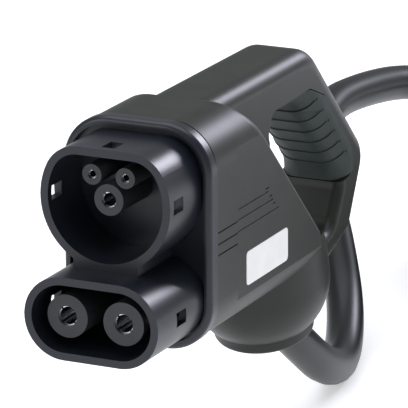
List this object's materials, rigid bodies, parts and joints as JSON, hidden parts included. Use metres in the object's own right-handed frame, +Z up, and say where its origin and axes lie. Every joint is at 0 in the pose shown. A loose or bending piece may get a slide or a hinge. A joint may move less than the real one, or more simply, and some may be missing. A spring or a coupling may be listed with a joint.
{
  "type": "ev charging plug",
  "caption": "Combined AC and DC vehicle charging plug with a loop handle, shrouded contact sockets, a rubber grip pad and a heavy cable.",
  "frame": {"origin": "on the axis of the earth contact, in the plane of the upper shroud's rim", "axes": "-Y is the way the plug goes into the vehicle's inlet, +Z is up, +X is the side with the label"},
  "size_m": [0.33, 0.6503, 0.1977],
  "materials": {
    "frame_plastic": "satin moulded plastic",
    "seal_rubber": "matt rubber",
    "insulator": "satin moulded plastic",
    "inner_plastic": "moulded plastic",
    "contact_metal": "silver plated",
    "housing_plastic": "fine textured moulded plastic",
    "boot_rubber": "matt rubber",
    "screw_steel": "zinc plated",
    "board": "printed circuit board",
    "sensor_plastic": "moulded plastic",
    "grip_rubber": "fine textured rubber",
    "core_red": "insulated core",
    "core_black": "insulated core",
    "core_green": "insulated core",
    "core_white": "insulated core",
    "cable_sheath": "satin sheath"
  },
  "bodies": {
    "root": {"mating_frame": "frame_plastic", "frame_seal": "seal_rubber", "signal_carrier": "insulator", "power_carrier": "insulator", "plus_sleeve": "insulator", "minus_sleeve": "insulator", "signal_retainer": "inner_plastic", "power_retainer": "inner_plastic", "earth_socket": "contact_metal", "pilot_socket": "contact_metal", "proximity_socket": "contact_metal", "plus_socket": "contact_metal", "minus_socket": "contact_metal", "housing": "housing_plastic", "outlet_cap": "housing_plastic", "cable_boot": "boot_rubber", "clamp_base": "inner_plastic", "clamp_saddle": "inner_plastic", "clamp_screws": "screw_steel", "retainer_screws": "screw_steel", "resistor_board": "board", "plus_sensor": "sensor_plastic", "minus_sensor": "sensor_plastic", "grip_pad": "grip_rubber", "plus_core": "core_red", "minus_core": "core_black", "earth_core": "core_green", "pilot_core": "core_white", "proximity_core": "core_white", "cable": "cable_sheath", "cable_coil": "cable_sheath"}
  },
  "joints": []
}
